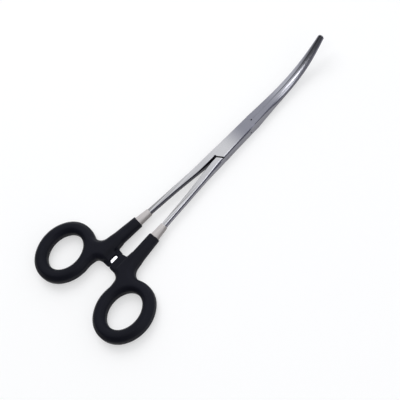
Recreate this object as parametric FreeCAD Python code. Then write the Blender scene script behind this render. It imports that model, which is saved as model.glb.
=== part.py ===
import FreeCAD, Part
import math
import os

# Curved hemostat forceps with a box lock, meshing jaws, a ratchet and coated finger rings.
# The origin is on the pivot axis in the lock's lower flat face.
# +Z runs up the pivot axis, +Y towards the tips, +X to the side of the male half's shank.
# All sizes are in millimetres.

Vector = FreeCAD.Vector

# Box lock
lock_thick = 5.8
lock_half_width = 4.4
lock_root_half_width = 4.85
lock_nose_half_width = 4.15
crotch_reach = 15.3
wall_side_run = 2.7
web_side_run = 5.7
waist_thick = 2.4
lock_clearance = 0.05
pin_radius = 1.6
pin_clearance = 0.05
edge_bevel = 0.4

# Shanks, from the lock back to the finger rings
shank_thick = 3.5
shank_width = 3.0
shank_taper_end_y = -34.0
lock_level_run = 1.3
lock_edge_spare = 0.3
shank_mid_y = -41.7
shank_mid_x = 5.0
shank_mid_width = 3.6
sleeve_front_y = -66.9
sleeve_front_x = 7.2
cover_front_y = -75.7
arm_back_y = -92.0
arm_back_x = 9.5
crotch_round = 0.75
crotch_turn = 45.0
long_edge = 16.0

# Jaws
jaw_root_overlap = 0.3
bend_start_y = 39.0
bend_start_z = 3.9
bend_radius = 92.0
jaw_arc_length = 43.2
jaw_mid_thick = 4.4
jaw_tip_thick = 2.9
jaw_mid_half_width = 3.45
jaw_tip_half_width = 1.85
jaw_mid_round = 1.2
jaw_tip_round = 1.2
nose_bevel = 0.8
corner_flats = 3

# Where the jaws' sizes change between their root, middle and tip
root_blend_run = 0.35
root_blend_share = 0.55
first_taper_run = 0.3
first_taper_share = 0.19
second_taper_run = 0.6
second_taper_share = 0.46

# Meshing serrations across the jaws
serration_start_y = 18.0
serration_pitch = 1.2
serration_depth = 0.4
serration_land = 0.16
serration_gap = 0.06
ridge_shift = 0.5

# Finger rings
ring_x = 29.95
ring_y = -119.9
ring_tilt = 3.5
hole_half_wide = 10.8
hole_half_long = 12.7
hole_end_radius = 9.7
cover_section = 8.2
cover_thick = 8.8
cover_back_extra = 0.4
ring_core_width = 3.2
neck_outer_run = 7.4
neck_inner_run = 4.7
neck_front_run = 5.0
neck_length = 11.5
neck_heel_shift = 0.9
neck_heel_drop = 1.2
neck_blend = 6.0
neck_root_run = 2.4
neck_end_rise = 3.9
neck_into_ring = 0.55
cover_bevel = 2.5

# Inner sleeves and arms of the covers
sleeve_front_diameter = 4.6
sleeve_back_diameter = 5.6
sleeve_hidden_length = 18.0
cover_front_diameter = 7.5
cover_end_bevel = 0.4
arm_back_diameter = 8.8
arm_into_neck = 4.0
round_flats = 24

# Ratchet
ratchet_run = 5.4
ratchet_width = 4.8
ratchet_pitch = 1.4
ratchet_depth = 0.6
ratchet_gap = 0.1
tongue_thick = 2.3
male_tongue_tip_x = 1.3
female_tongue_tip_x = 2.6
pad_end_wall = 0.5
pad_width = 12.0
pad_thick = 3.5
pad_front_corner = 2.8
pad_back_corner = 2.2
pad_bevel = 1.2
pad_shift = 0.2
female_pad_end_x = 0.8
female_pad_slant = 1.6
female_teeth_end_x = 2.5
lip_height = 1.5
lip_width = 7.6
lip_bevel = 0.7

# Room that the cutting shapes take past the metal
cutter_over = 0.2
cutter_spare = 1.0
cutter_reach = 9.0
cutter_half_span = 20.0
same_place = 0.01
level_slack = 0.001

mid_z = lock_thick / 2
wall_side_reach = crotch_reach - wall_side_run
lock_level_reach = crotch_reach - lock_level_run
shank_top_z = mid_z + shank_thick / 2
jaw_root_y = crotch_reach - jaw_root_overlap
jaw_straight = math.hypot(bend_start_y - jaw_root_y, bend_start_z - mid_z)
jaw_length = jaw_straight + jaw_arc_length
ridge_x = (serration_depth - serration_gap) / 2
arm_lean = (arm_back_x - sleeve_front_x) / (arm_back_y - sleeve_front_y)
cover_front_x = sleeve_front_x + arm_lean * (cover_front_y - sleeve_front_y)
sleeve_run = math.hypot(cover_front_x - sleeve_front_x, cover_front_y - sleeve_front_y)
arm_run = math.hypot(arm_back_x - sleeve_front_x, arm_back_y - sleeve_front_y)

neck_outer_x = arm_back_x + neck_outer_run
neck_inner_x = arm_back_x - neck_inner_run
neck_front_y = arm_back_y - neck_front_run
neck_back_y = neck_front_y - neck_length
neck_heel_x = arm_back_x + neck_heel_shift
neck_heel_y = neck_back_y - neck_heel_drop
neck_end_y = ring_y + neck_end_rise
ring_side_x = ring_x - hole_half_wide - cover_section + neck_into_ring
ratchet_y = neck_front_y - ratchet_run
pad_y = ratchet_y + pad_shift


def at(x, y, z=0.0):
    return Vector(x, y, z)


def line(start, end):
    return Part.LineSegment(start, end).toShape()


def curve(points, start_way=None, end_way=None):
    """A smooth edge through the points, with end directions where they are given."""
    spline = Part.BSplineCurve()
    if start_way and end_way:
        spline.interpolate(Points=points, InitialTangent=start_way, FinalTangent=end_way)
    else:
        spline.interpolate(Points=points)
    return spline.toShape()


def prism(edges, low, high):
    """A flat outline at z = 0 made solid between two heights."""
    face = Part.Face(Part.Wire(Part.__sortEdges__(edges)))
    face.translate(at(0, 0, low))
    return face.extrude(at(0, 0, high - low))


def polygon(points, low, high):
    """A prism with straight sides."""
    closed = points + points[:1]
    edges = [line(at(*a), at(*b)) for a, b in zip(closed, closed[1:])]
    return prism(edges, low, high)


def mirrored(shape):
    """The same shape on the other side of the parting plane."""
    return shape.mirror(at(0, 0, 0), at(1, 0, 0))


def joined(shapes):
    return shapes[0].fuse(shapes[1:]).removeSplitter()


def bevelled(shape, size, wanted):
    """Bevel each edge that the test picks."""
    edges = [edge for edge in shape.Edges if wanted(edge)]
    return shape.makeChamfer(size, edges)


# Plan of the shanks, drawn for the male half with its shank on +X

def shank_side(sign):
    """Points along one side of the bar, sign +1 outside and -1 towards the other shank."""
    half = sign * shank_width / 2
    mid_half = sign * shank_mid_width / 2
    return [at(sleeve_front_x + half, sleeve_front_y), at(shank_mid_x + mid_half, shank_mid_y)]


def half_plan():
    """Closed outline of the open shank, lock and jaw root."""
    arm_way = at(sleeve_front_x - arm_back_x, sleeve_front_y - arm_back_y)
    outer = shank_side(1) + [at(lock_root_half_width, -crotch_reach), at(lock_half_width, 0),
                             at(lock_nose_half_width, crotch_reach)]
    crotch = at(0, -crotch_reach)
    turn = math.radians(crotch_turn)
    crotch_y = -crotch_reach - crotch_round
    crotch_mid = at(crotch_round * math.sin(turn), crotch_y + crotch_round * math.cos(turn))
    inner = shank_side(-1) + [at(crotch_round, crotch_y)]
    left = [at(-lock_root_half_width, -wall_side_reach - lock_edge_spare), at(-lock_half_width, 0),
            at(-lock_nose_half_width, crotch_reach)]
    return [curve(outer, arm_way, outer[-1] - outer[-2]),
            line(outer[-1], at(0, crotch_reach)),
            line(at(0, crotch_reach), left[-1]),
            curve(left),
            line(left[0], crotch),
            Part.Arc(crotch, crotch_mid, inner[-1]).toShape(),
            curve(inner, arm_way, at(0, arm_way.Length)),
            line(inner[0], outer[0])]


def thickness_profile():
    """Side view: level and thick at the lock, slender along the shanks."""
    lock_top = [at(0, -lock_level_reach, lock_thick), at(0, crotch_reach + cutter_spare, lock_thick)]
    taper_end = at(0, shank_taper_end_y, shank_top_z)
    back_end = at(0, sleeve_front_y - cutter_spare, shank_top_z)
    back = at(0, -1, 0)
    top = [line(lock_top[1], lock_top[0]), curve([lock_top[0], taper_end], back, back),
           line(taper_end, back_end)]
    low = [edge.mirror(at(0, 0, mid_z), at(0, 0, 1)) for edge in top]
    ends = [line(point, at(0, point.y, lock_thick - point.z)) for point in (lock_top[1], back_end)]
    face = Part.Face(Part.Wire(Part.__sortEdges__(top + low + ends)))
    face.translate(at(-cutter_half_span, 0, 0))
    return face.extrude(at(2 * cutter_half_span, 0, 0))


def steel_bar():
    """Open shank, lock and jaw root in one bar with bevelled long edges."""
    bar = prism(half_plan(), -cutter_spare, lock_thick + cutter_spare).common(thickness_profile())
    return bevelled(bar, edge_bevel, lambda edge: edge.Length > long_edge)


def arm_bar():
    """The straight end of the shank, inside the sleeve and the black arm."""
    half = shank_width / 2
    plan = [(sleeve_front_x - half, sleeve_front_y), (sleeve_front_x + half, sleeve_front_y),
            (arm_back_x + half, arm_back_y), (arm_back_x - half, arm_back_y)]
    bar = polygon(plan, mid_z - shank_thick / 2, shank_top_z)
    return bevelled(bar, edge_bevel, lambda edge: edge.Length > long_edge)


# Jaws, drawn for the male half with its jaw on -X

def jaw_station(along):
    """Centre and slope of the closed jaws a distance along them from their root."""
    root = at(0, jaw_root_y, mid_z)
    bend = at(0, bend_start_y, bend_start_z)
    straight = (bend - root).Length
    slope = math.atan2(bend.z - root.z, bend.y - root.y)
    if along <= straight:
        return root + (bend - root) * (along / straight), slope
    turn = (along - straight) / bend_radius
    centre_y = bend.y - bend_radius * math.sin(slope)
    centre_z = bend.z + bend_radius * math.cos(slope)
    angle = slope + turn
    return at(0, centre_y + bend_radius * math.sin(angle), centre_z - bend_radius * math.cos(angle)), angle


def jaw_place(along):
    """Carries a shape drawn across X and Z at the origin to its station on the jaws."""
    centre, slope = jaw_station(along)
    return FreeCAD.Placement(centre, FreeCAD.Rotation(at(1, 0, 0), math.degrees(slope)))


def jaw_section(along, half_width, thick, corner):
    """A flat inner face and a rounded back, seen along the jaw."""
    half = thick / 2
    top = [at(ridge_x, 0, half)]
    for step in range(corner_flats + 1):
        angle = math.pi / 2 * step / corner_flats
        top.append(at(corner - half_width - corner * math.sin(angle), 0, half - corner + corner * math.cos(angle)))
    outline = top + [at(point.x, 0, -point.z) for point in top[::-1]]
    wire = Part.makePolygon(outline + outline[:1])
    wire.Placement = jaw_place(along)
    return wire


def jaw_blank():
    """The jaw before its serrations are cut, with a rounded nose."""
    sections = []
    stations = ((1, 0, 0),
                (root_blend_share, 0, jaw_straight * root_blend_run),
                (0, 0, jaw_straight),
                (0, first_taper_share, jaw_straight + jaw_arc_length * first_taper_run),
                (0, second_taper_share, jaw_straight + jaw_arc_length * second_taper_run),
                (0, 1, jaw_length))
    for share_root, share_tip, along in stations:
        share_mid = 1 - share_root - share_tip
        half_width = (share_root * lock_nose_half_width + share_mid * jaw_mid_half_width
                      + share_tip * jaw_tip_half_width)
        thick = share_root * lock_thick + share_mid * jaw_mid_thick + share_tip * jaw_tip_thick
        corner = share_root * edge_bevel + share_mid * jaw_mid_round + share_tip * jaw_tip_round
        sections.append(jaw_section(along, half_width, thick, corner))
    blank = Part.makeLoft(sections, True, False)
    tip, slope = jaw_station(jaw_length)
    way = at(0, math.cos(slope), math.sin(slope))

    def on_nose(edge):
        middle = edge.CenterOfMass
        return abs((middle - tip).dot(way)) < same_place and middle.x < ridge_x - same_place
    return bevelled(blank, nose_bevel, on_nose)


def serration_cutters(phase):
    """Grooves straight across the jaw, and the level land before the first one."""
    run = serration_pitch / 2 - serration_land
    half_mouth = serration_land / 2 + run
    half_over = half_mouth + cutter_over * run / serration_depth
    high = ridge_x + cutter_over
    low = ridge_x - serration_depth
    outline = [(high, -half_over), (low, -serration_land / 2), (low, serration_land / 2), (high, half_over)]
    first = serration_start_y - jaw_root_y
    cutters = []
    for number in range(int((jaw_length - first) / serration_pitch) + 2):
        groove = polygon(outline, -lock_thick, lock_thick)
        groove.Placement = jaw_place(first + (number + phase) * serration_pitch)
        cutters.append(groove)
    flank = -serration_land / 2
    start = -first - serration_pitch
    land = polygon([(high, start), (-serration_gap / 2, start), (-serration_gap / 2, flank - run / 2),
                    (high, flank + cutter_over * run / serration_depth)], -lock_thick, lock_thick)
    land.Placement = jaw_place(first + (ridge_shift - phase) * serration_pitch)
    return cutters + [land]


def jaw(phase):
    """One finished jaw; the other half's ridges stand half a pitch further on."""
    return jaw_blank().cut(serration_cutters(phase))


# The box lock, drawn for the male half; its outlines look the same after half a turn

def at_side(side_run):
    """How far along the lock a line from the crotch through its side gets at the edge of the cutters."""
    return -crotch_reach + side_run * cutter_reach / lock_half_width


def lock_block(points, spread, low, high):
    """A block over the lock, spread outwards by a clearance."""
    wire = Part.makePolygon([at(*point) for point in points + points[:1]])
    if spread:
        wire = wire.makeOffset2D(spread, 2)
    face = Part.Face(wire)
    face.translate(at(0, 0, low))
    return face.extrude(at(0, 0, high - low))


def both_ends(points, spread, low, high):
    """The block and its copy after half a turn about the pivot."""
    block = lock_block(points, spread, low, high)
    return [block, block.rotated(at(0, 0, 0), at(0, 0, 1), 180)]


wall_far_y = at_side(wall_side_run)
web_far_y = at_side(web_side_run)
far = cutter_reach
wall_plan = [(-far, -crotch_reach), (0, -crotch_reach), (far, wall_far_y),
             (far, crotch_reach), (0, crotch_reach), (-far, -wall_far_y)]
slot_plan = [(0, -crotch_reach), (far, -crotch_reach), (far, -web_far_y),
             (0, crotch_reach), (-far, crotch_reach), (-far, web_far_y)]
web_plan = [(0, -crotch_reach), (-far, web_far_y), (-far, -crotch_reach)]
outside_wall_plan = [(0, -crotch_reach), (far, -crotch_reach - cutter_spare), (far, wall_far_y)]


def pin(radius):
    return Part.makeCylinder(radius, lock_thick)


def male_lock_cutters():
    """What leaves the male half its thin waist between full shoulders."""
    low = mid_z - waist_thick / 2
    high = mid_z + waist_thick / 2
    walls = [lock_block(wall_plan, lock_clearance, -cutter_spare, low),
             lock_block(wall_plan, lock_clearance, high, lock_thick + cutter_spare)]
    webs = both_ends(web_plan, lock_clearance, low - cutter_over, high + cutter_over)
    return walls + webs + [pin(pin_radius + pin_clearance)]


def female_lock_cutters():
    """What leaves the female half its slot between two walls and two webs."""
    half_slot = waist_thick / 2 + lock_clearance
    slot = lock_block(slot_plan, 0, mid_z - half_slot, mid_z + half_slot)
    outside = both_ends(outside_wall_plan, 0, -cutter_spare, lock_thick + cutter_spare)
    return [slot] + outside + [pin(pin_radius)]


# Rings, arms and covers, drawn for the male half on +X

def oval(outset, low, high, back=0.0):
    """A finger ring's outline as four tangent arcs, set out from the hole and given a height."""
    tilt = math.radians(ring_tilt)
    end_radius = hole_end_radius
    end_shift = hole_half_long - end_radius
    spare = hole_half_wide - end_radius
    side_shift = (end_shift ** 2 - spare ** 2) / (2 * spare)
    side_radius = hole_half_wide + side_shift
    turn = math.atan2(end_shift, side_shift)
    arcs = []
    for sign in (1, -1):
        centre = at(-sign * side_shift, 0)
        arcs.append([centre + at(math.cos(angle), math.sin(angle)) * sign * (side_radius + outset)
                     for angle in (-turn, 0, turn)])
        centre = at(0, sign * end_shift)
        arcs.append([centre + at(math.cos(angle), math.sin(angle)) * sign * (end_radius + outset)
                     for angle in (turn, math.pi / 2, math.pi - turn)])
    solid = prism([Part.Arc(*points).toShape() for points in arcs], low, high)
    solid.rotate(at(0, 0, 0), at(0, 0, 1), ring_tilt)
    solid.translate(at(ring_x + back * math.sin(tilt), ring_y - back * math.cos(tilt)))
    return solid


def nearest_upright(shape, x, y):
    """The upright edge of a slab that stands nearest to a point of its plan."""
    upright = [edge for edge in shape.Edges if edge.BoundBox.ZLength > level_slack]
    return min(upright, key=lambda edge: math.hypot(edge.CenterOfMass.x - x, edge.CenterOfMass.y - y))


def level_edges(shape, apart_from_y):
    """The edges in the top and bottom faces of a slab, leaving out those of one end face."""
    found = []
    for edge in shape.Edges:
        box = edge.BoundBox
        at_end = box.YLength < level_slack and abs(box.YMax - apart_from_y) < level_slack
        if box.ZLength < level_slack and not at_end:
            found.append(edge)
    return found


def ring_slab():
    """Coated ring and neck with bevelled edges, as one soft-looking section all round."""
    low = mid_z - cover_thick / 2
    high = mid_z + cover_thick / 2
    half = cover_section / 2
    arm_half = arm_back_diameter / 2
    heel = (neck_heel_x, neck_heel_y)
    root = (neck_inner_x + neck_root_run, neck_back_y)
    corner = (neck_inner_x, neck_back_y + neck_root_run)
    front = (neck_inner_x, neck_front_y)
    plan = [(arm_back_x + arm_half, arm_back_y), (neck_outer_x, neck_back_y), (ring_side_x + half, ring_y),
            (ring_side_x, neck_end_y), heel, root, corner, front, (arm_back_x - arm_half, arm_back_y)]
    slab = oval(cover_section, low, high, cover_back_extra / 2).fuse(polygon(plan, low, high)).removeSplitter()
    outer = (neck_outer_x, neck_back_y)
    inner = (ring_side_x, neck_end_y)
    blends = [(outer, neck_blend), (inner, neck_blend), (corner, neck_blend / 2),
              (root, neck_blend / 2), (heel, neck_blend / 2)]
    for (x, y), radius in blends:
        slab = slab.makeFillet(radius, [nearest_upright(slab, x, y)])
    slab = slab.cut(oval(0, low - cutter_spare, high + cutter_spare))
    return slab.makeChamfer(cover_bevel, level_edges(slab, arm_back_y))


def round_bar(stations):
    """A straight round bar along the arm through stations of distance and diameter, in fine flats."""
    front = at(sleeve_front_x, sleeve_front_y, mid_z)
    way = at(arm_back_x, arm_back_y, mid_z) - front
    way.normalize()
    sections = []
    for along, diameter in stations:
        angles = [math.tau * step / round_flats for step in range(round_flats)]
        points = [at(math.cos(angle), math.sin(angle)) * (diameter / 2) for angle in angles]
        section = Part.makePolygon(points + points[:1])
        section.Placement = FreeCAD.Placement(front + way * along, FreeCAD.Rotation(at(0, 0, 1), way))
        sections.append(section)
    return Part.makeLoft(sections, True, True)


def arm_sleeve():
    """The grey inner sleeve: a taper in the open, then a plain tube under the cover."""
    return round_bar([(0, sleeve_front_diameter), (sleeve_run, sleeve_back_diameter),
                      (sleeve_run + sleeve_hidden_length, sleeve_back_diameter)])


def cover_arm():
    """The round black arm from its cut front end into the neck."""
    return round_bar([(sleeve_run, cover_front_diameter - 2 * cover_end_bevel),
                      (sleeve_run + cover_end_bevel, cover_front_diameter),
                      (arm_run, arm_back_diameter), (arm_run + arm_into_neck, arm_back_diameter)])


def pad(tip_x, slant, low, high):
    """The coated ratchet pad, from its rounded end into the neck; a slant carries its front corner out."""
    back = pad_y - pad_width / 2
    front = pad_y + pad_width / 2
    root_x = neck_inner_x + cover_section / 2
    block = polygon([(tip_x, back), (root_x, back), (root_x, front), (tip_x - slant, front)], low, high)
    for y, radius in ((back, pad_back_corner), (front, pad_front_corner)):
        block = block.makeFillet(radius, [nearest_upright(block, tip_x, y)])
    outer_z = high if high > lock_thick - low else low
    rim = [edge for edge in block.Edges if edge.BoundBox.ZLength < level_slack
           and abs(edge.BoundBox.ZMax - outer_z) < level_slack and edge.BoundBox.XMin < root_x - level_slack]
    return block.makeChamfer(pad_bevel, rim)


def lip():
    """The coating that closes over the root of the female tongue, up to its first tooth."""
    root_x = neck_inner_x + cover_section / 2
    low = mid_z - ratchet_gap / 2
    high = mid_z + lip_height
    back = ratchet_y - lip_width / 2
    front = ratchet_y + lip_width / 2
    end_x = female_teeth_end_x
    block = polygon([(end_x, back), (root_x, back), (root_x, front), (end_x, front)], low, high)
    rim = [edge for edge in block.Edges if edge.BoundBox.ZMin > high - level_slack
           and edge.BoundBox.XMin < root_x - level_slack]
    return block.makeChamfer(lip_bevel, rim)


def tongue(tip_x, low, high):
    """The steel ratchet tongue before its teeth are cut."""
    half = ratchet_width / 2
    root_x = (arm_back_x + neck_outer_x) / 2
    return polygon([(tip_x, ratchet_y - half), (root_x, ratchet_y - half), (root_x, ratchet_y + half),
                    (tip_x, ratchet_y + half)], low, high)


def teeth_gaps(tip_x, end_x, face_z, depth):
    """Sawtooth notches across a tongue; a negative depth cuts up from its lower face."""
    half = ratchet_width / 2 + cutter_over
    count = round((end_x - tip_x) / ratchet_pitch)
    notches = []
    for number in range(count):
        start = tip_x + number * ratchet_pitch
        outline = [at(start, 0, face_z - depth), at(start, 0, face_z + depth),
                   at(start + ratchet_pitch, 0, face_z + depth), at(start + ratchet_pitch, 0, face_z)]
        face = Part.Face(Part.makePolygon(outline + outline[:1]))
        face.translate(at(0, ratchet_y - half))
        notches.append(face.extrude(at(0, 2 * half)))
    return notches


def ring_core():
    """The steel of one ring with its neck, hidden in the cover."""
    inside = (cover_section - ring_core_width) / 2
    low = mid_z - shank_thick / 2
    high = mid_z + shank_thick / 2
    ring = oval(inside + ring_core_width, low, high).cut(oval(inside, low - cutter_spare, high + cutter_spare))
    half = shank_width / 2
    core_x = ring_side_x + inside
    neck = polygon([(arm_back_x + half, arm_back_y), (neck_outer_x - half, neck_back_y),
                    (core_x + half, neck_end_y), (core_x, neck_end_y), (neck_heel_x, ratchet_y - ratchet_width / 2),
                    (arm_back_x - half, arm_back_y)], low, high)
    return ring.fuse(neck)


# The seven pieces

male_tongue_low = mid_z + ratchet_gap / 2
female_tongue_high = mid_z - ratchet_gap / 2


def coating(core, plain_pad):
    """The grey sleeve and the black cover that are moulded over a steel core."""
    sleeve = arm_sleeve()
    cover = joined([ring_slab(), cover_arm(), plain_pad]).cut([core, sleeve])
    bore = arm_bar()
    bore.translate(at(sleeve_front_x - arm_back_x, sleeve_front_y - arm_back_y) * (cutter_spare / arm_run))
    return sleeve.cut([core, bore]), cover


def male_pieces():
    steel_tongue = tongue(male_tongue_tip_x, male_tongue_low, male_tongue_low + tongue_thick)
    core = joined([arm_bar(), ring_core(), steel_tongue])
    steel = joined([steel_bar(), jaw(0), core]).cut(male_lock_cutters())
    notches = teeth_gaps(male_tongue_tip_x, neck_inner_x, male_tongue_low, -ratchet_depth)
    plain_pad = pad(male_tongue_tip_x - pad_end_wall, 0, male_tongue_low, male_tongue_low + pad_thick)
    return steel.cut(notches), *coating(core, plain_pad)


def female_pieces():
    low = female_tongue_high - tongue_thick
    steel_tongue = tongue(-female_tongue_tip_x, low, female_tongue_high)
    core = joined([arm_bar(), ring_core(), steel_tongue])
    notches = teeth_gaps(-female_tongue_tip_x, female_teeth_end_x, female_tongue_high, ratchet_depth)
    steel = joined([steel_bar(), jaw(ridge_shift), core]).cut(notches)
    plain_pad = pad(female_pad_end_x, female_pad_slant, female_tongue_high - pad_thick, female_tongue_high)
    sleeve, cover = coating(core, joined([plain_pad, lip()]))
    return mirrored(steel).cut(female_lock_cutters()), mirrored(sleeve), mirrored(cover)


male_half, inner_sleeve_right, grip_cover_right = male_pieces()
female_half, inner_sleeve_left, grip_cover_left = female_pieces()
pieces = {
    "female_half": female_half,
    "male_half": male_half,
    "pivot_pin": pin(pin_radius),
    "grip_cover_left": grip_cover_left,
    "grip_cover_right": grip_cover_right,
    "inner_sleeve_left": inner_sleeve_left,
    "inner_sleeve_right": inner_sleeve_right,
}

os.makedirs("parts", exist_ok=True)
for name, piece in pieces.items():
    piece.exportStep("parts/" + name + ".step")
    print(name, "solids", len(piece.Solids), "volume", round(piece.Volume, 1), "valid", piece.isValid())
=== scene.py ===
# %% [markdown]
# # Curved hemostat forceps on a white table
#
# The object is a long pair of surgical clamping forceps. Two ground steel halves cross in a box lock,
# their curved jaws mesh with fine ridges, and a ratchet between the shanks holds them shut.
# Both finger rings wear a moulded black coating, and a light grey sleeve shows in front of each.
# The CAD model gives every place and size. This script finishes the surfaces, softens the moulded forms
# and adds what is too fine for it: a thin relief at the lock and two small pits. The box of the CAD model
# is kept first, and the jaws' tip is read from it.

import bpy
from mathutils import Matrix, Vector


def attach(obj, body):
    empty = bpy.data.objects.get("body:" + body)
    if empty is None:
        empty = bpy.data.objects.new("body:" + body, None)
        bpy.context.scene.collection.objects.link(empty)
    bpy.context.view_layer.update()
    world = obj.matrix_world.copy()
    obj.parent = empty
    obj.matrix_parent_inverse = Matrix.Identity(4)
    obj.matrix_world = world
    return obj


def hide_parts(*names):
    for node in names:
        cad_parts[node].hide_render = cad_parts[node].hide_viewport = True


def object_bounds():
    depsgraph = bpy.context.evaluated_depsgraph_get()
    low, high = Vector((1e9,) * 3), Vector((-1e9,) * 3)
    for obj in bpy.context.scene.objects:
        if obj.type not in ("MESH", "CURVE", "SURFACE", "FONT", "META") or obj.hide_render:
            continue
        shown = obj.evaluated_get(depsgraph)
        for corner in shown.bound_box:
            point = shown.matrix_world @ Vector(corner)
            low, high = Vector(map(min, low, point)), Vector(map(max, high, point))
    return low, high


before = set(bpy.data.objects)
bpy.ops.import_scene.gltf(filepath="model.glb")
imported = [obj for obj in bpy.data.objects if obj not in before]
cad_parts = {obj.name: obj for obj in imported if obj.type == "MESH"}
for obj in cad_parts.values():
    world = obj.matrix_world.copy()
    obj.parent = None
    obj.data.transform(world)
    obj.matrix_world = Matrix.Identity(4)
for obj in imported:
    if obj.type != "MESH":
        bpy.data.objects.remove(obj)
cad_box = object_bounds()
print("CAD box in mm", [[round(value * 1000, 1) for value in corner] for corner in cad_box])

# %% [markdown]
# ## Small helpers
#
# Colours are chosen as sRGB hex values, as a designer reads them off a swatch. Shaders work in linear
# light, so one function turns them. Another adds a shader node with its settings and its links in one
# call, which keeps each material below short enough to read at a glance. Lengths are metres in Blender,
# so a length in millimetres is written as a number times MM.

# %% Colour and node helpers
import math
import bmesh
import bpy
from mathutils import Matrix, Vector

MM = 0.001


def linear(hex_colour):
    """An sRGB hex colour as linear RGBA."""
    parts = [int(hex_colour[place:place + 2], 16) / 255 for place in (1, 3, 5)]
    return [part / 12.92 if part <= 0.04045 else ((part + 0.055) / 1.055) ** 2.4 for part in parts] + [1.0]


def add_node(tree, kind, settings=None, values=None, links=None):
    """One shader node with its settings, its socket values and the sockets that feed it."""
    node = tree.nodes.new(kind)
    for name, value in (settings or {}).items():
        setattr(node, name, value)
    for name, value in (values or {}).items():
        node.inputs[name].default_value = value
    for name, socket in (links or {}).items():
        tree.links.new(socket, node.inputs[name])
    return node


def new_material(name):
    """A material with an empty node tree."""
    material = bpy.data.materials.new(name)
    material.use_nodes = True
    material.node_tree.nodes.clear()
    return material, material.node_tree


print("black swatch in linear light", [round(value, 4) for value in linear("#15161a")])

# %% [markdown]
# ## What the finishes are made of
#
# The finishes below share three things. A grain is noise in the piece's own space, with its size in real
# millimetres, so it stays put when the piece moves. A colour turns into another by a pattern, by the
# place on the tool or by the way the surface faces. And on steel, coating and tubing the grain also
# shows in how rough the surface is and in its height. Image textures could do all this too, but they
# would need an unwrapped mesh, and these patterns fit any shape as it is.

# %% Grain, change of colour and surface
# Noise stays near its middle, so the roughness uses its whole range between these two values.
NOISE_LOW = 0.3
NOISE_HIGH = 0.7


def grain(tree, size_mm, length_mm=None, detail=3.0):
    """Noise about size_mm across and length_mm along the tool."""
    place = add_node(tree, "ShaderNodeTexCoord")
    across = 1 / (size_mm * MM)
    along = 1 / ((length_mm or size_mm) * MM)
    scaled = add_node(tree, "ShaderNodeVectorMath", {"operation": "MULTIPLY"},
                      {1: (across, along, across)}, {0: place.outputs["Object"]})
    noise = add_node(tree, "ShaderNodeTexNoise", values={"Scale": 1.0, "Detail": detail},
                     links={"Vector": scaled.outputs[0]})
    return noise.outputs["Fac"]


def turn_into(tree, first, second, source, low=0.0, high=1.0, curve="SMOOTHSTEP"):
    """The first colour, which turns into the second while the source goes from low to high."""
    share = add_node(tree, "ShaderNodeMapRange", {"interpolation_type": curve},
                     {"From Min": low, "From Max": high}, {"Value": source})
    values = {}
    links = {"Factor": share.outputs["Result"]}
    for name, colour in (("A", first), ("B", second)):
        if isinstance(colour, str):
            values[name] = linear(colour)
        else:
            links[name] = colour
    return add_node(tree, "ShaderNodeMix", {"data_type": "RGBA"}, values, links).outputs["Result"]


def grained_surface(tree, tone, pattern, roughness, bump_share, height_mm, values):
    """A shader whose pattern shows in its roughness and in its height."""
    rough = add_node(tree, "ShaderNodeMapRange",
                     values={"From Min": NOISE_LOW, "From Max": NOISE_HIGH,
                             "To Min": roughness[0], "To Max": roughness[1]},
                     links={"Value": pattern})
    bump = add_node(tree, "ShaderNodeBump", values={"Strength": bump_share, "Distance": height_mm * MM},
                    links={"Height": pattern})
    return add_node(tree, "ShaderNodeBsdfPrincipled", values=values,
                    links={"Base Color": tone, "Roughness": rough.outputs["Result"],
                           "Normal": bump.outputs["Normal"]})


print("roughness follows the noise from", NOISE_LOW, "to", NOISE_HIGH)

# %% [markdown]
# ## Satin ground stainless steel
#
# The halves are forged stainless steel. The shanks' flats are ground on a belt along their length and
# come out bright, with broad greyer streaks towards the sleeves. The lock's and jaws' tops are greyer, a
# painted reflection of the dim surroundings that they mirror. The sides are darker, with painted shade,
# darker still between the shanks, and darkest in a painted dark reflection just under the bevels. The
# narrow bevels carry a painted highlight on the shanks and a painted dark reflection on the lock. The
# jaws' backs get a little darker towards the tip, again as painted reflection, their sides carry painted
# shade, and a dark line shows where the jaws part. The eye sees bright tops between dark sides, with soft
# stretched reflections.
#
# A metal's colour is its reflection, so metallic is 1, the IOR keeps its default and each of these tones,
# the painted light among them, is a base colour. Each could be a material of its own, given face by face,
# but then every change of tone would be a hard line. So one material reads which way the surface faces and
# where on the tool it lies, both in the piece's own space. The real grain is about 0.05 mm wide, too fine
# to show in this picture, so it is drawn 0.35 mm wide and 9 mm long.

# %% Where each tone and painted light lies
BRIGHT_GROUND = "#d3d2d3"
GRAIN_WIDTH = 0.35
GRAIN_LENGTH = 9.0
STREAK_WIDTH = 1.1
STREAK_LENGTH = 60.0

# The noise at which a streak begins and at which it is full.
STREAK_NOISE = (0.56, 0.42)

# Where along the tool a tone or painted light begins and is full. The pivot is at 0, the jaws are ahead.
STREAKED = (-22.0 * MM, -60.0 * MM)
# Painted reflection: the lock's and jaws' tops and bevels are dimmed over this span.
PAINTED_DIMMING = (-9.0 * MM, 9.0 * MM)
ROUND_BACK = (28.0 * MM, 42.0 * MM)
PAINTED_DARK_TIP = (52.0 * MM, 76.0 * MM)

# How far from the middle plane the parting line begins and is full.
PARTING = (0.35 * MM, 0.05 * MM)

# Painted shade on the inner sides, between the shanks. An inner side faces the middle plane,
# so its place times its direction across the tool is below 0.
PAINTED_INNER_SHADE = (0.0, -0.5 * MM)

# How fully a surface faces up or down, or on the jaws' sides across: 1 is fully. The painted dark
# line under the bevels, a painted reflection, is on the upper side only.
PAINTED_LINE_UNDER_BEVEL = (0.04, 0.16)
ON_BEVEL = (0.48, 0.66)
ON_FLAT = (0.9, 0.98)
PAINTED_JAW_SIDE_SHADE = (0.5, 0.85)

# Where the painted dimming of the tops and the round backs begin.
print("satin from", PAINTED_DIMMING[0] / MM, "mm on, round backs from", ROUND_BACK[0] / MM, "mm on")


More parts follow.
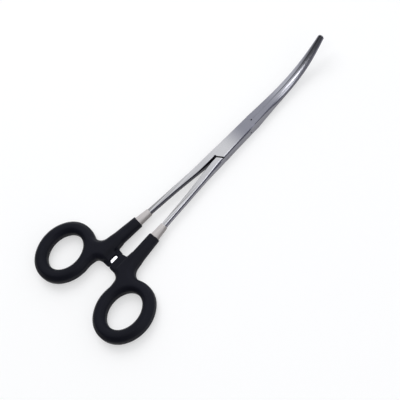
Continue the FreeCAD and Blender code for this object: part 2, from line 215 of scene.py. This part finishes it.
# %% Steel material
def satin_ground_steel():
    material, tree = new_material("satin_ground_stainless_steel")
    place = add_node(tree, "ShaderNodeTexCoord").outputs
    facing = add_node(tree, "ShaderNodeSeparateXYZ", links={"Vector": place["Normal"]}).outputs
    lying = add_node(tree, "ShaderNodeSeparateXYZ", links={"Vector": place["Object"]}).outputs
    level, sideways, off_middle = [
        add_node(tree, "ShaderNodeMath", {"operation": "ABSOLUTE"}, links={0: source}).outputs[0]
        for source in (facing["Z"], facing["X"], lying["X"])]
    outward = add_node(tree, "ShaderNodeMath", {"operation": "MULTIPLY"},
                       links={0: lying["X"], 1: facing["X"]}).outputs[0]

    streaks = grain(tree, STREAK_WIDTH, STREAK_LENGTH, 1.0)
    streaky = turn_into(tree, BRIGHT_GROUND, "#a09f9e", streaks, *STREAK_NOISE)
    ground = turn_into(tree, BRIGHT_GROUND, streaky, lying["Y"], *STREAKED)
    # Painted reflection: the tops turn greyer from the lock on, for the dim surroundings they mirror.
    flat = turn_into(tree, ground, "#92929b", lying["Y"], *PAINTED_DIMMING)
    # Painted shade: the sides are darker than the tops, and darker still on the inner sides.
    side = turn_into(tree, "#8b8b92", "#4b4b4f", outward, *PAINTED_INNER_SHADE)
    # Painted reflection: a dark line just under the bevels.
    side_with_painted_line = turn_into(tree, side, "#4a4a55", facing["Z"], *PAINTED_LINE_UNDER_BEVEL)
    # Painted highlight on the shanks' bevels, and a painted dark reflection on the lock's bevels.
    bevel = turn_into(tree, "#c6c6cc", "#62626e", lying["Y"], *PAINTED_DIMMING)
    painted_sides_and_bevels = turn_into(tree, side_with_painted_line, bevel, level, *ON_BEVEL)
    bar = turn_into(tree, painted_sides_and_bevels, flat, level, *ON_FLAT)

    # Painted reflection: the jaws' backs get darker towards the tip.
    back = turn_into(tree, "#b0b0b7", "#9a9aa2", lying["Y"], *PAINTED_DARK_TIP)
    # Painted shade on the jaws' sides.
    jaw = turn_into(tree, back, "#62626c", sideways, *PAINTED_JAW_SIDE_SHADE)
    parted_jaw = turn_into(tree, jaw, "#3c3c44", off_middle, *PARTING)
    tone = turn_into(tree, bar, parted_jaw, lying["Y"], *ROUND_BACK)

    shader = grained_surface(tree, tone, grain(tree, GRAIN_WIDTH, GRAIN_LENGTH), roughness=(0.17, 0.25),
                             bump_share=0.06, height_mm=0.02, values={"Metallic": 1.0})
    add_node(tree, "ShaderNodeOutputMaterial", links={"Surface": shader.outputs[0]})
    return material


steel = satin_ground_steel()
print("made", steel.name, "with", len(steel.node_tree.nodes), "nodes")

# %% [markdown]
# ## Painted shade in the undercuts
#
# The narrow step beside the lock and the two small pits are coloured with painted shade, for the shade
# that falls into them. It has no metallic share, and it is matt. The eye sees one thin black line and two
# black dots between bright flats.

# %% Painted shade material
GAP_SHADE_MOTTLE = 1.5


def painted_gap_shade():
    material, tree = new_material("painted_shade_in_gaps")
    mottle = grain(tree, GAP_SHADE_MOTTLE)
    tone = turn_into(tree, "#101014", "#1d1d22", mottle, curve="LINEAR")
    shader = add_node(tree, "ShaderNodeBsdfPrincipled",
                      values={"Roughness": 0.7, "Specular IOR Level": 0.1}, links={"Base Color": tone})
    add_node(tree, "ShaderNodeOutputMaterial", links={"Surface": shader.outputs[0]})
    return material


shade_in_gaps = painted_gap_shade()
print("made", shade_in_gaps.name)

# %% [markdown]
# ## Black moulded coating
#
# The rings and arms are overmoulded with a soft black vinyl. It comes out of its mould with a very fine
# spark-eroded grain, so it is neither glossy nor dead: the eye sees a deep black with broad, weak
# highlights. A low specular level keeps it black under soft light. The grain is 0.6 mm, drawn a little
# coarser than the real one so that it shows, and it is a few hundredths of a millimetre high. A broad
# cloudiness of 18 mm keeps the black from looking painted.

# %% Coating material
VINYL_GRAIN = 0.6
VINYL_CLOUDS = 18.0


def moulded_black_vinyl():
    material, tree = new_material("moulded_black_vinyl")
    clouds = grain(tree, VINYL_CLOUDS, detail=2.0)
    tone = turn_into(tree, "#0c0d14", "#14151f", clouds, curve="LINEAR")
    shader = grained_surface(tree, tone, grain(tree, VINYL_GRAIN, detail=4.0), roughness=(0.42, 0.56),
                             bump_share=0.25, height_mm=0.05,
                             values={"IOR": 1.5, "Specular IOR Level": 0.12})
    add_node(tree, "ShaderNodeOutputMaterial", links={"Surface": shader.outputs[0]})
    return material


vinyl = moulded_black_vinyl()
print("made", vinyl.name)

# %% [markdown]
# ## Light grey shrink tubing
#
# A tube of grey polyolefin is shrunk over the square shank before the black is moulded on, and its front
# end stays in view. Shrinking draws it tight over the corners, so it looks like a round tube that
# remembers a square. The surface is semi-matt with faint streaks along its length, about 0.8 mm wide.
# Its sides are a little darker than its top, a painted shade that is read from which way the surface
# faces.

# %% Sleeve material
TUBING_STREAK_WIDTH = 0.8
TUBING_STREAK_LENGTH = 12.0
PAINTED_SIDE_SHADE = (0.0, 0.7)


def grey_shrink_tubing():
    material, tree = new_material("grey_shrink_tubing")
    streaks = grain(tree, TUBING_STREAK_WIDTH, TUBING_STREAK_LENGTH, 2.0)
    place = add_node(tree, "ShaderNodeTexCoord").outputs
    facing = add_node(tree, "ShaderNodeSeparateXYZ", links={"Vector": place["Normal"]}).outputs
    streaky = turn_into(tree, "#aea8a7", "#c8c4c2", streaks, curve="LINEAR")
    # Painted shade: the sides turn darker than the top.
    tone = turn_into(tree, "#9a9492", streaky, facing["Z"], *PAINTED_SIDE_SHADE)
    shader = grained_surface(tree, tone, streaks, roughness=(0.4, 0.55), bump_share=0.15, height_mm=0.04,
                             values={"IOR": 1.5})
    add_node(tree, "ShaderNodeOutputMaterial", links={"Surface": shader.outputs[0]})
    return material


tubing = grey_shrink_tubing()
print("made", tubing.name)

# %% [markdown]
# ## Copies of the steel halves
#
# Each half is one forging: shank, ratchet tongue, lock and jaw. The CAD solids already have the lock,
# the teeth and the bevels, so nothing is drawn anew. Their mesh is a set of separate faces though, and
# its flat facets would show on the rounded jaws. So each half is copied and welded here, and the next
# steps cut, crease and shade the copies. The CAD meshes themselves stay as they are.

# %% Welded copies
WELD_DISTANCE = 0.002 * MM


def link(name, data):
    """A new object of that name in the scene."""
    made = bpy.data.objects.new(name, data)
    bpy.context.scene.collection.objects.link(made)
    return made


def baked(piece):
    """The piece with its modifiers applied to its mesh."""
    graph = bpy.context.evaluated_depsgraph_get()
    mesh = bpy.data.meshes.new_from_object(piece.evaluated_get(graph))
    piece.modifiers.clear()
    piece.data = mesh
    return piece


def cad_copy(name, node):
    """A new piece with the node's welded mesh."""
    piece = link(name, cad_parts[node].data.copy())
    weld = piece.modifiers.new("weld", "WELD")
    weld.merge_threshold = WELD_DISTANCE
    return baked(piece)


def paint(piece, material):
    """The material, as the piece's only one."""
    piece.data.materials.clear()
    piece.data.materials.append(material)


halves = {}
for side in ("female", "male"):
    halves[side] = cad_copy("ground_" + side + "_half", side + "_half")
    paint(halves[side], steel)
    print(halves[side].name, "faces", len(halves[side].data.polygons))

# %% [markdown]
# ## The relief at the lock's shoulder
#
# Where the two halves meet at the lock, the shoulder of the passing half is filed back a little, so that
# it doesn't rub. From above that shows as a thin black line from the crotch to the edge. A painted line
# alone could draw it, but a step catches the light and its shadow as the real one does. So a narrow block
# is taken out of the copy with a boolean, deep on the top face and shallow on the lower one. The boolean
# hands the block's own dark material on to the faces that it cuts, so the step's faces carry painted
# shade.

# %% Shoulder relief
LOCK_TOP = 5.8 * MM
# The line starts in the crotch between the shanks.
CROTCH = Vector((0.0, -15.3, 0.0)) * MM
LINE_END = Vector((9.0, -9.78, 0.0)) * MM
RELIEF_WIDTH = 1.0 * MM
RELIEF_START = 0.5 * MM
RELIEF_START_ASIDE = 0.03 * MM
TOP_DEPTH = 1.3 * MM
UNDER_DEPTH = 0.4 * MM
SPARE = 0.5 * MM


def relief_block(low, high):
    """A thin upright block that follows the shoulder's line."""
    along = (LINE_END - CROTCH).normalized()
    aside = Vector((along.y, -along.x, 0.0))
    start = CROTCH + along * RELIEF_START - aside * RELIEF_START_ASIDE
    plan = [start, start + aside * RELIEF_WIDTH, LINE_END + aside * RELIEF_WIDTH, LINE_END]
    points = [Vector((point.x, point.y, height)) for height in (low, high) for point in plan]
    sides = [(number, (number + 1) % 4, (number + 1) % 4 + 4, number + 4) for number in range(4)]
    mesh = bpy.data.meshes.new("relief_block")
    mesh.from_pydata(points, [], sides + [(3, 2, 1, 0), (4, 5, 6, 7)])
    mesh.materials.append(shade_in_gaps)
    return link("relief_block", mesh)


def cut_away(half, block):
    """Takes the block out of the half, and hands on its material."""
    cut = half.modifiers.new("cut", "BOOLEAN")
    cut.operation = "DIFFERENCE"
    cut.solver = "EXACT"
    cut.material_mode = "TRANSFER"
    cut.object = block
    baked(half)
    bpy.data.objects.remove(block)


for low, high in ((LOCK_TOP - TOP_DEPTH, LOCK_TOP + SPARE), (-SPARE, UNDER_DEPTH)):
    cut_away(halves["male"], relief_block(low, high))
print(halves["male"].name, "faces after the relief", len(halves["male"].data.polygons))

# %% [markdown]
# ## Two small pits
#
# Closing the hot box round the other half leaves small pits where the joint doesn't quite fill: one on
# top, where the jaws part in front of the lock, and one on the side of the box. They are about a
# millimetre wide and their dark colour is painted shade, so at this distance each is a black dot. A small
# ball is taken out at each place, in the same way as the relief's block, so a pit has a true hollow form.

# %% Pits
# Their centres: on the middle line of the top, and on the side of the box.
PITS = (Vector((0.0, 15.3, 5.75)) * MM, Vector((4.45, 9.8, 2.1)) * MM)
PIT_RADIUS = 0.55 * MM


def pit_ball(centre):
    """A small round ball with the painted shade on it."""
    shape = bmesh.new()
    bmesh.ops.create_icosphere(shape, subdivisions=2, radius=PIT_RADIUS, matrix=Matrix.Translation(centre))
    mesh = bpy.data.meshes.new("pit_ball")
    shape.to_mesh(mesh)
    shape.free()
    mesh.materials.append(shade_in_gaps)
    return link("pit_ball", mesh)


for half in halves.values():
    for centre in PITS:
        cut_away(half, pit_ball(centre))
    print(half.name, "faces after the pits", len(half.data.polygons))

# %% [markdown]
# ## Crisp and soft edges
#
# A belt leaves some edges crisp: every flat against its bevel, and each steep corner. Where a bevel meets
# a side the edge stays soft, so the sides look slightly barrelled, as hand ground ones do. A bevel
# modifier could round them, but it would break up the teeth. So all faces are shaded smooth and only the
# crisp edges are marked sharp. How steep a corner must be for that depends on where it is.

# %% Sharp marks
# The turn from one face to the next from which an edge is crisp: in general, on the jaws, by a flat.
STEEP = math.radians(50)
JAW_STEEP = math.radians(35)
FLAT_STEEP = math.radians(20)
# How fully a flat faces up or down, at least.
FLAT_LEVEL = 0.98
JAW_STARTS = 16.0 * MM


def mark_edges(half):
    """Sharp edges round the flats and at steep corners, soft ones elsewhere."""
    shape = bmesh.new()
    shape.from_mesh(half.data)
    for face in shape.faces:
        face.smooth = True
    for edge in shape.edges:
        if len(edge.link_faces) != 2:
            continue
        first, second = edge.link_faces
        on_jaw = min(corner.co.y for corner in edge.verts) > JAW_STARTS
        by_flat = max(abs(first.normal.z), abs(second.normal.z)) > FLAT_LEVEL
        limit = JAW_STEEP if on_jaw else FLAT_STEEP if by_flat else STEEP
        edge.smooth = first.normal.angle(second.normal, 0) < limit
    print(half.name, "sharp edges", sum(not edge.smooth for edge in shape.edges), "of", len(shape.edges))
    shape.to_mesh(half.data)
    shape.free()


for half in halves.values():
    mark_edges(half)

# %% [markdown]
# ## Even shading in front of the lock
#
# The jaws are ground in long strokes, so their surface is even. The CAD mesh has thin sliver faces
# between the large ones there, and smooth shading gives a sliver as much say as a large face, which
# leaves blotches. A finer mesh would cost many triangles. Weighted normals let the large faces lead.

# %% Weighted normals
EVEN_STARTS = 8.0 * MM
LARGE_FACES_LEAD = 100


def even_jaw_shading(half):
    """Weighted normals from the lock's front on."""
    inside = [vertex.index for vertex in half.data.vertices if vertex.co.y > EVEN_STARTS]
    half.vertex_groups.new(name="jaw").add(inside, 1.0, "REPLACE")
    level = half.modifiers.new("level", "WEIGHTED_NORMAL")
    level.weight = LARGE_FACES_LEAD
    level.keep_sharp = True
    level.vertex_group = "jaw"
    baked(half)
    print(half.name, "evened points", len(inside), "of", len(half.data.vertices))


for half in halves.values():
    even_jaw_shading(half)

# %% [markdown]
# ## Round shading for the jaws
#
# The jaws' backs are ground by hand to a soft half round, while the CAD jaws have flat tops with rounded
# corners. The form is near enough, and the light gives the rest away, so only the normals are changed:
# each corner of a back face gets the normal of an ellipse that fits the jaw there. The ellipse follows
# the jaws' centre line, which is straight up to the bend and an arc after it. The teeth keep their own.

# %% The centre line and the ellipse
BEND_STARTS = 39.0 * MM
BEND_HEIGHT = 3.9 * MM
BEND_RADIUS = 92.0 * MM
# From their root to the bend the jaws rise by 1 mm in 24 mm.
BEND_SLOPE = math.atan2(1.0, 24.0)
# Place along the tool, half width and half thickness there, in millimetres.
JAW_SIZES = ((15.0, 4.15, 2.9), (39.0, 3.45, 2.2), (80.5, 1.85, 1.45))


def jaw_frame(place):
    """Height and slope of the centre line at a point's place along the tool."""
    run = place.y - BEND_STARTS
    if run < 0:
        return BEND_HEIGHT + run * math.tan(BEND_SLOPE), BEND_SLOPE
    slope = math.asin(run / BEND_RADIUS + math.sin(BEND_SLOPE))
    return BEND_HEIGHT + BEND_RADIUS * (math.cos(BEND_SLOPE) - math.cos(slope)), slope


def jaw_half_sizes(place):
    """Half width and half thickness of the jaws there, in metres."""
    run = place.y / MM
    near, far = JAW_SIZES[:2] if run <= JAW_SIZES[1][0] else JAW_SIZES[1:]
    part = (run - near[0]) / (far[0] - near[0])
    return [(first + (second - first) * part) * MM for first, second in zip(near[1:], far[1:])]


def half_round_normal(place):
    """Direction in which the ellipse faces at that point."""
    height, slope = jaw_frame(place)
    half_width, half_thick = jaw_half_sizes(place)
    lift = (place.z - height) * math.cos(slope)
    across = place.x / half_width ** 2
    up = lift / half_thick ** 2
    return Vector((across, -up * math.sin(slope), up * math.cos(slope))).normalized()


tip = Vector((0.0, cad_box[1][1], 0.0))
print("jaws' slope at the tip in degrees", round(math.degrees(jaw_frame(tip)[1]), 1))

# %% Round normals on the backs
# How nearly a face must look the way of the ellipse to be one of the back: 1 is exactly.
OUTWARD = 0.3


def within(value, low, high):
    return max(low, min(high, value))


def round_share(place):
    """How round the shading is there: 0 on the lock, 1 on the jaws, with a smooth change."""
    run = within((place.y - ROUND_BACK[0]) / (ROUND_BACK[1] - ROUND_BACK[0]), 0.0, 1.0)
    return run * run * (3 - 2 * run)


def round_jaw_shading(half):
    """Ellipse normals for every face that looks outward. The teeth look inward and are passed over."""
    mesh = half.data
    normals = [corner.vector.copy() for corner in mesh.corner_normals]
    changed = 0
    for face in mesh.polygons:
        corners = [mesh.vertices[number].co for number in face.vertices]
        if max(corner.y for corner in corners) < ROUND_BACK[0]:
            continue
        if face.normal.dot(half_round_normal(face.center)) < OUTWARD:
            continue
        for loop, corner in zip(face.loop_indices, corners):
            normals[loop] = normals[loop].lerp(half_round_normal(corner), round_share(corner)).normalized()
            changed += 1
    mesh.normals_split_custom_set(normals)
    print(half.name, "rounded corners", changed, "of", len(normals))


for half in halves.values():
    round_jaw_shading(half)

# %% [markdown]
# ## The halves ride their bodies
#
# Each half turns about the pin with all that is fixed to it. So a finished copy rides the body of its
# CAD node and takes that node's place in the picture. The pin is riveted flush and ground over, so
# nothing of it needs a softer form: it keeps its CAD solid and only gets the steel.

# %% Dressed halves and the pin
def dress(piece, node, body):
    """The piece moves with the body and stands in for the node."""
    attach(piece, body)
    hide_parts(node)


for side, half in halves.items():
    dress(half, side + "_half", side)
    print(half.name, "rides", side)

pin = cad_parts["pivot_pin"]
paint(pin, steel)

# %% [markdown]
# ## The coated rings and arms
#
# The real coating flows: ring, neck, arm and ratchet pad run into each other with no edges, and the
# section is round. The CAD cover is the same form in bevelled flats. A voxel remesh turns it into an
# even net of small faces, and relaxing that net melts the flats into a round section. The cut front
# end of the arm and the two ratchet pads stay crisp, so the relaxing fades out there.

# %% Melted copies of the covers
NET_SIZE = 0.5 * MM
RELAX_STEPS = 16
RELAX_FACTOR = 0.5
ARM_END_KEPT = 0.5 * MM
ARM_END_FADE = 2.5 * MM
RATCHET_HALF = 4.5 * MM
RATCHET_FADE = 3.0 * MM
PAD_RELAX = 0.1


def moulded_cover(side, body):
    """One cover, melted round except at its cut end and its ratchet pad."""
    node = "grip_cover_" + side
    cover = cad_copy("coated_grip_" + side, node)
    net = cover.modifiers.new("net", "REMESH")
    net.mode = "VOXEL"
    net.voxel_size = NET_SIZE
    baked(cover)
    arm_end = max(vertex.co.y for vertex in cover.data.vertices)
    free = cover.vertex_groups.new(name="free")
    for vertex in cover.data.vertices:
        from_end = within((arm_end - vertex.co.y - ARM_END_KEPT) / ARM_END_FADE, 0.0, 1.0)
        from_pads = within((abs(vertex.co.x) - RATCHET_HALF) / RATCHET_FADE, PAD_RELAX, 1.0)
        free.add([vertex.index], min(from_end, from_pads), "REPLACE")
    relax = cover.modifiers.new("relax", "SMOOTH")
    relax.factor = RELAX_FACTOR
    relax.iterations = RELAX_STEPS
    relax.vertex_group = "free"
    baked(cover)
    for face in cover.data.polygons:
        face.use_smooth = True
    paint(cover, vinyl)
    dress(cover, node, body)
    print(cover.name, "faces", len(cover.data.polygons))
    return cover


covers = [moulded_cover("left", "female"), moulded_cover("right", "male")]

# %% [markdown]
# ## The grey sleeves
#
# Each sleeve is a tube whose section changes: nearly square where it grips the bare shank, round where
# the black arm starts. A loft between two curves could make it, but a superellipse does both sections
# with one number, its power: 2 is a circle and 4 is a soft square. Rings of points along the shank are
# joined into a skin, with a small lip turned in at the front end. Two points give its place and its
# direction, as in the CAD model: the sleeve's front end and the back end of the coated arm round it.

# %% Section of a sleeve
SLEEVE_SIDES = 48
FRONT_CENTRE = Vector((7.2, -66.9, 2.9)) * MM
BACK_CENTRE = Vector((9.5, -92.0, 2.9)) * MM
LENGTH_SHOWN = 8.84
SLEEVE_LENGTH = 12.0
# Place from the front end, width and thickness, in millimetres, and the section's power.
STATIONS = ((0.0, 3.3, 3.7, 4.0), (0.0, 3.75, 4.1, 4.0), (0.3, 3.95, 4.3, 4.0), (2.5, 4.4, 4.6, 3.2),
            (LENGTH_SHOWN, 5.6, 5.6, 2.3), (SLEEVE_LENGTH, 5.6, 5.6, 2.1))


def superellipse(wide, thick, power, angle):
    """A point of the section, in the tube's own across and up directions."""
    across = abs(math.cos(angle)) ** (2 / power) * math.copysign(1, math.cos(angle))
    up = abs(math.sin(angle)) ** (2 / power) * math.copysign(1, math.sin(angle))
    return across * wide / 2 * MM, up * thick / 2 * MM


print("sleeve shown for", LENGTH_SHOWN, "of", SLEEVE_LENGTH, "mm")


# %% Drawn sleeves
def sleeve_points(sign):
    """Rings of points from the front end to the back, on the side that the sign says."""
    front = Vector((FRONT_CENTRE.x * sign, FRONT_CENTRE.y, FRONT_CENTRE.z))
    back = Vector((BACK_CENTRE.x * sign, BACK_CENTRE.y, BACK_CENTRE.z))
    way = (back - front).normalized()
    across = way.cross(Vector((0, 0, 1)))
    points = []
    for along, wide, thick, power in STATIONS:
        for number in range(SLEEVE_SIDES):
            left, up = superellipse(wide, thick, power, math.tau * number / SLEEVE_SIDES)
            points.append(front + way * along * MM + across * left + Vector((0, 0, up)))
    return points


def sleeve_faces():
    """The skin between the rings, and a flat face at each end."""
    faces = []
    for ring in range(len(STATIONS) - 1):
        for number in range(SLEEVE_SIDES):
            here = ring * SLEEVE_SIDES + number
            beside = ring * SLEEVE_SIDES + (number + 1) % SLEEVE_SIDES
            faces.append((here, beside, beside + SLEEVE_SIDES, here + SLEEVE_SIDES))
    faces.append(tuple(range(SLEEVE_SIDES))[::-1])
    last = (len(STATIONS) - 1) * SLEEVE_SIDES
    faces.append(tuple(range(last, last + SLEEVE_SIDES)))
    return faces


def shrunk_sleeve(side, body, sign):
    mesh = bpy.data.meshes.new("shrunk_sleeve_" + side)
    mesh.from_pydata(sleeve_points(sign), [], sleeve_faces())
    mesh.validate()
    sleeve = link("shrunk_sleeve_" + side, mesh)
    for face in mesh.polygons:
        face.use_smooth = True
    mesh.set_sharp_from_angle(angle=STEEP)
    paint(sleeve, tubing)
    dress(sleeve, "inner_sleeve_" + side, body)
    print(sleeve.name, "points", len(mesh.vertices), "faces", len(mesh.polygons))


shrunk_sleeve("left", "female", -1)
shrunk_sleeve("right", "male", 1)

# %% [markdown]
# ## The table's white
#
# The table is plain white laminate, which is nearly matt. White alone would either clip or look grey
# under soft lamps, so half of what the camera and the steel see of it is an even white. That keeps the
# background clean and leaves the shadow at half its depth. The light that the table throws back on the
# object comes from a greyer tone, as from a table in a dim room, so the undersides don't glow.

# %% Laminate material
EVEN_WHITE = 0.5


def white_laminate():
    material, tree = new_material("white_laminate")
    path = add_node(tree, "ShaderNodeLightPath").outputs
    seen = path["Is Camera Ray"]
    for ray in ("Is Glossy Ray", "Is Transmission Ray"):
        seen = add_node(tree, "ShaderNodeMath", {"operation": "MAXIMUM"},
                        links={0: seen, 1: path[ray]}).outputs[0]
    tone = turn_into(tree, "#a8a8a8", "#fbfbfb", seen, curve="LINEAR")
    lit = add_node(tree, "ShaderNodeBsdfPrincipled", values={"Roughness": 0.8, "Specular IOR Level": 0.1},
                   links={"Base Color": tone})
    white = add_node(tree, "ShaderNodeEmission", values={"Color": linear("#ffffff"), "Strength": 1.0})
    even = add_node(tree, "ShaderNodeMath", {"operation": "MULTIPLY"}, {1: EVEN_WHITE}, {0: seen})
    shader = add_node(tree, "ShaderNodeMixShader",
                      links={0: even.outputs[0], 1: lit.outputs[0], 2: white.outputs[0]})
    add_node(tree, "ShaderNodeOutputMaterial", links={"Surface": shader.outputs[0]})
    return material


laminate = white_laminate()
print("made", laminate.name)

# %% [markdown]
# ## The table
#
# The forceps lie on their coated handles and on the far edge of the lock, so the table touches both. It
# leans by less than a degree against the model, which nobody sees, but the contact shadows come out
# true. The lean isn't typed in: it is the least one at which every point of the covers is clear of the
# table, so it follows the covers' real shape. The table is so wide that its edges stay out of the picture.
# Only a view from low down shows the far one, as a horizon.

# %% Floor
# The lock reaches as far in front of the pivot as the crotch lies behind it.
LOCK_REACH = -CROTCH.y
TABLE_DROP = -0.05 * MM
TABLE_HALF = 4.0


def resting_lean(pieces):
    """The least lean at which the table clears every point of the pieces."""
    points = [piece.matrix_world @ vertex.co for piece in pieces for vertex in piece.data.vertices]
    return max(math.atan2(TABLE_DROP - point.z, LOCK_REACH - point.y) for point in points)


def table_top():
    lean = resting_lean(covers)
    mesh = bpy.data.meshes.new("table_top")
    corners = [(x * TABLE_HALF, y * TABLE_HALF, 0) for x, y in ((-1, -1), (1, -1), (1, 1), (-1, 1))]
    mesh.from_pydata(corners, [], [(0, 1, 2, 3)])
    table = link("table_top", mesh)
    table.matrix_world = Matrix.Translation((0, LOCK_REACH, TABLE_DROP)) @ Matrix.Rotation(lean, 4, "X")
    mesh.materials.append(laminate)
    print("table leans by", round(math.degrees(lean), 2), "degrees")


table_top()

# %% [markdown]
# ## Camera
#
# The picture was taken from above and a little from the right, with a long lens about 1.1 m away.
# A camera could be aimed by hand until the picture fits. Here its place and its right and up directions
# were fitted to the rings, the shanks and the jaws, and the lens length with them, with no shift.

# %% Camera
CAMERA_PLACE = Vector((0.61065, -0.10187, 0.92403))
CAMERA_RIGHT = Vector((0.61766994, 0.70184096, -0.35482829))
CAMERA_UP = Vector((-0.56811711, 0.71018922, 0.41578145))
LENS_MM = 165.55
SENSOR_MM = 36
CLIP_NEAR = 0.05
CLIP_FAR = 20


def photo_camera():
    camera = link("photo_camera", bpy.data.cameras.new("photo_camera"))
    back = CAMERA_RIGHT.cross(CAMERA_UP).normalized()
    up = back.cross(CAMERA_RIGHT).normalized()
    turn = Matrix((CAMERA_RIGHT, up, back)).transposed().to_4x4()
    camera.matrix_world = Matrix.Translation(CAMERA_PLACE) @ turn
    camera.data.lens = LENS_MM
    camera.data.sensor_width = SENSOR_MM
    camera.data.clip_start = CLIP_NEAR
    camera.data.clip_end = CLIP_FAR
    bpy.context.scene.camera = camera
    print("camera looks along", [round(-value, 3) for value in back])


photo_camera()

# %% [markdown]
# ## Lamps
#
# Polished tools are shot under large soft lamps, because steel mirrors whatever is round it. One big lamp
# up on the left gives the forms their light side and the table its shadow, and it stays out of the
# mirror images. A strip low on the right draws the white line along the bevels, and a smaller one nearly
# overhead draws the streak on the curved jaws. Two narrow strips do this better than more light would,
# since a narrow lamp leaves a narrow reflection.

# %% Softboxes
AIM = Vector((0.0, -0.02, 0.0))


def softbox(name, place, width, height, power):
    """A rectangular lamp that is aimed at the middle of the tool."""
    data = bpy.data.lights.new(name, "AREA")
    data.shape = "RECTANGLE"
    data.size = width
    data.size_y = height
    data.energy = power
    lamp = link(name, data)
    lamp.location = place
    lamp.rotation_euler = (AIM - Vector(place)).to_track_quat("-Z", "Y").to_euler()
    print(name, "at", place, "power", power)
    return lamp


main = softbox("main_softbox", (-0.62, 0.25, 0.95), width=0.8, height=0.8, power=5.0)
main.visible_glossy = False
softbox("bevel_strip", (0.84, 0.05, 0.54), width=0.14, height=0.7, power=0.7)
softbox("jaw_strip", (0.22, -0.13, 0.93), width=0.2, height=0.45, power=0.9)

# %% [markdown]
# ## Light tent
#
# The tool stands in a tent of white cloth, so that the steel mirrors an even white, and the world is that
# tent. Its side towards the rings is left dim. Only the raised jaws mirror that side, so they fall off to
# a dark tip. A dark card beside the tool would do the same, but it would also shade the table.

# %% World
# How bright the dim side is, and between which directions along the tool it brightens to white.
TENT_DIM = 0.15
DIM_FULL = -0.5
DIM_ENDS = 0.0


def light_tent():
    """White all round, with a dim side towards the rings."""
    world = bpy.data.worlds.new("light_tent")
    bpy.context.scene.world = world
    world.use_nodes = True
    tree = world.node_tree
    background = tree.nodes["Background"]
    background.inputs["Color"].default_value = linear("#f4f6fa")
    place = add_node(tree, "ShaderNodeTexCoord").outputs
    toward = add_node(tree, "ShaderNodeSeparateXYZ", links={"Vector": place["Generated"]}).outputs
    shade = add_node(tree, "ShaderNodeMapRange", {"interpolation_type": "SMOOTHSTEP"},
                     {"From Min": DIM_FULL, "From Max": DIM_ENDS, "To Min": TENT_DIM, "To Max": 1.0},
                     {"Value": toward["Y"]})
    tree.links.new(shade.outputs["Result"], background.inputs["Strength"])
    print(world.name, "dims to", TENT_DIM)


light_tent()

scene = bpy.context.scene
scene.view_settings.view_transform = "Standard"
